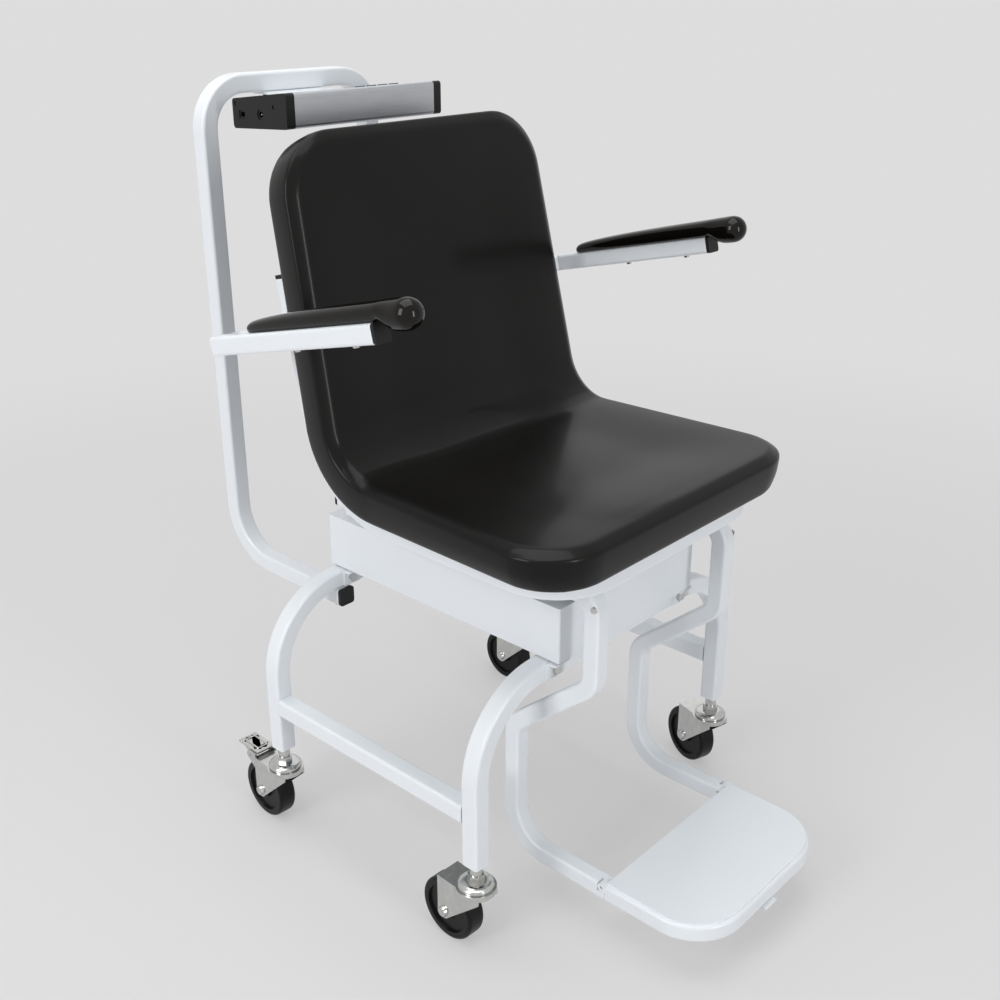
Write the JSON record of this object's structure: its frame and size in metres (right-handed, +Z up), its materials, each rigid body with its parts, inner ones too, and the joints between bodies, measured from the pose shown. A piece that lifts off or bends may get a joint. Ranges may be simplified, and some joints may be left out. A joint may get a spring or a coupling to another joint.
{
  "type": "chair scale",
  "caption": "Electronic chair scale on swivel castors: tube frame, load-cell box, black seat, flip-up armrests, fold-up footrest and a push handle with the indicator.",
  "frame": {"origin": "the middle of the bounding box at the floor, under the castor wheels", "axes": "+Z up, -Y towards the front of the seat, X across, with the plane of symmetry at X = 0"},
  "size_m": [0.555, 0.761, 0.879],
  "materials": {
    "white_enamel": "satin white enamel on steel tube and sheet",
    "zinc_steel": "bright zinc plating",
    "black_plastic": "moulded black plastic, fine grain",
    "gloss_black": "glossy black moulded plastic",
    "wheel_rubber": "black rubber tread on a black hub",
    "tray_steel": "galvanised sheet",
    "cell_aluminium": "machined aluminium",
    "circuit_board": "green circuit board",
    "seat_board": "black stained plywood",
    "seat_skin": "black foam with a moulded grained skin",
    "brushed_aluminium": "brushed and anodised aluminium",
    "display_window": "dark display window",
    "black_steel": "blackened steel screws",
    "key_plastic": "grey-blue key caps"
  },
  "bodies": {
    "cart": {"front_arch": "white_enamel", "rear_arch": "white_enamel", "side_rails": "white_enamel", "leg_inserts": "black_plastic", "frame_bolts": "zinc_steel", "castor_stems": "zinc_steel", "box_cover": "white_enamel", "box_tray": "tray_steel", "corner_brackets": "white_enamel", "load_cells": "cell_aluminium", "cell_spacers": "cell_aluminium", "summing_board": "circuit_board", "load_studs": "zinc_steel", "cross_bars": "white_enamel", "footrest_tube_left": "white_enamel", "footrest_tube_right": "white_enamel", "seat_frame": "white_enamel", "seat_tube_caps": "black_plastic", "seat_board": "seat_board", "seat_pad": "seat_skin", "seat_screws": "zinc_steel", "armrest_bar": "white_enamel", "arm_pivots": "zinc_steel", "hinge_pins": "zinc_steel", "push_handle": "white_enamel", "handle_caps": "black_plastic", "indicator_bracket": "white_enamel", "indicator_body": "brushed_aluminium", "indicator_cap_left": "black_plastic", "indicator_cap_right": "black_plastic", "indicator_window": "display_window", "indicator_board": "circuit_board", "indicator_sockets": "black_plastic", "indicator_screws": "black_steel"},
    "castor_front_left": {"castor_fork_front_left": "zinc_steel"},
    "wheel_front_left": {"castor_wheel_front_left": "wheel_rubber"},
    "castor_front_right": {"castor_fork_front_right": "zinc_steel"},
    "wheel_front_right": {"castor_wheel_front_right": "wheel_rubber"},
    "castor_rear_left": {"castor_fork_rear_left": "zinc_steel"},
    "wheel_rear_left": {"castor_wheel_rear_left": "wheel_rubber"},
    "castor_rear_right": {"castor_fork_rear_right": "zinc_steel"},
    "wheel_rear_right": {"castor_wheel_rear_right": "wheel_rubber"},
    "pedal_left": {"brake_pedal_left": "zinc_steel"},
    "arm_left": {"arm_tube_left": "white_enamel", "arm_cap_left": "black_plastic", "arm_pad_left": "gloss_black", "arm_screws_left": "zinc_steel"},
    "pedal_right": {"brake_pedal_right": "zinc_steel"},
    "arm_right": {"arm_tube_right": "white_enamel", "arm_cap_right": "black_plastic", "arm_pad_right": "gloss_black", "arm_screws_right": "zinc_steel"},
    "foot_plate": {"foot_frame": "white_enamel", "foot_sheet": "white_enamel", "pull_tab": "white_enamel"},
    "key_power": {"key_power": "key_plastic"},
    "key_tare": {"key_tare": "key_plastic"},
    "key_hold": {"key_hold": "key_plastic"},
    "key_unit": {"key_unit": "key_plastic"}
  },
  "joints": [
    {"name": "castor_swivel_front_left", "type": "hinge", "parent": "cart", "child": "castor_front_left", "pos_m": [-0.225, -0.1485, 0.09], "axis": [0, 0, 1], "continuous": true},
    {"name": "wheel_spin_front_left", "type": "hinge", "parent": "castor_front_left", "child": "wheel_front_left", "pos_m": [-0.22374, -0.11252, 0.0375], "axis": [0.9994, -0.0349, 0], "continuous": true},
    {"name": "castor_swivel_front_right", "type": "hinge", "parent": "cart", "child": "castor_front_right", "pos_m": [0.225, -0.1485, 0.09], "axis": [0, 0, 1], "continuous": true},
    {"name": "wheel_spin_front_right", "type": "hinge", "parent": "castor_front_right", "child": "wheel_front_right", "pos_m": [0.23613, -0.11426, 0.0375], "axis": [0.9511, -0.309, 0], "continuous": true},
    {"name": "castor_swivel_rear_left", "type": "hinge", "parent": "cart", "child": "castor_rear_left", "pos_m": [-0.225, 0.1755, 0.09], "axis": [0, 0, 1], "continuous": true},
    {"name": "wheel_spin_rear_left", "type": "hinge", "parent": "castor_rear_left", "child": "wheel_rear_left", "pos_m": [-0.22312, 0.21145, 0.0375], "axis": [0.9986, -0.0523, 0], "continuous": true},
    {"name": "brake_pedal_left", "type": "hinge", "parent": "castor_rear_left", "child": "pedal_left", "pos_m": [-0.22212, 0.23042, 0.081], "axis": [-0.9986, 0.0523, 0], "range_deg": [0, 10]},
    {"name": "castor_swivel_rear_right", "type": "hinge", "parent": "cart", "child": "castor_rear_right", "pos_m": [0.225, 0.1755, 0.09], "axis": [0, 0, 1], "continuous": true},
    {"name": "wheel_spin_rear_right", "type": "hinge", "parent": "castor_rear_right", "child": "wheel_rear_right", "pos_m": [0.22751, 0.21141, 0.0375], "axis": [0.9976, -0.0698, 0], "continuous": true},
    {"name": "brake_pedal_right", "type": "hinge", "parent": "castor_rear_right", "child": "pedal_right", "pos_m": [0.22884, 0.23037, 0.081], "axis": [-0.9976, 0.0698, 0], "range_deg": [0, 10]},
    {"name": "foot_plate_fold", "type": "hinge", "parent": "cart", "child": "foot_plate", "pos_m": [0, -0.2405, 0.071], "axis": [-1, 0, 0], "range_deg": [0, 90]},
    {"name": "arm_flip_left", "type": "hinge", "parent": "cart", "child": "arm_left", "pos_m": [-0.266, 0.15968, 0.63332], "axis": [-1, 0, 0], "range_deg": [0, 90]},
    {"name": "arm_flip_right", "type": "hinge", "parent": "cart", "child": "arm_right", "pos_m": [0.266, 0.15968, 0.63332], "axis": [-1, 0, 0], "range_deg": [0, 90]},
    {"name": "key_power_press", "type": "slide", "parent": "cart", "child": "key_power", "axis": [0, -0.1129, -0.9936], "range_m": [0, 0.0008], "stiffness_N_per_m": 2500},
    {"name": "key_tare_press", "type": "slide", "parent": "cart", "child": "key_tare", "axis": [0, -0.1129, -0.9936], "range_m": [0, 0.0008], "stiffness_N_per_m": 2500},
    {"name": "key_hold_press", "type": "slide", "parent": "cart", "child": "key_hold", "axis": [0, -0.1129, -0.9936], "range_m": [0, 0.0008], "stiffness_N_per_m": 2500},
    {"name": "key_unit_press", "type": "slide", "parent": "cart", "child": "key_unit", "axis": [0, -0.1129, -0.9936], "range_m": [0, 0.0008], "stiffness_N_per_m": 2500}
  ]
}
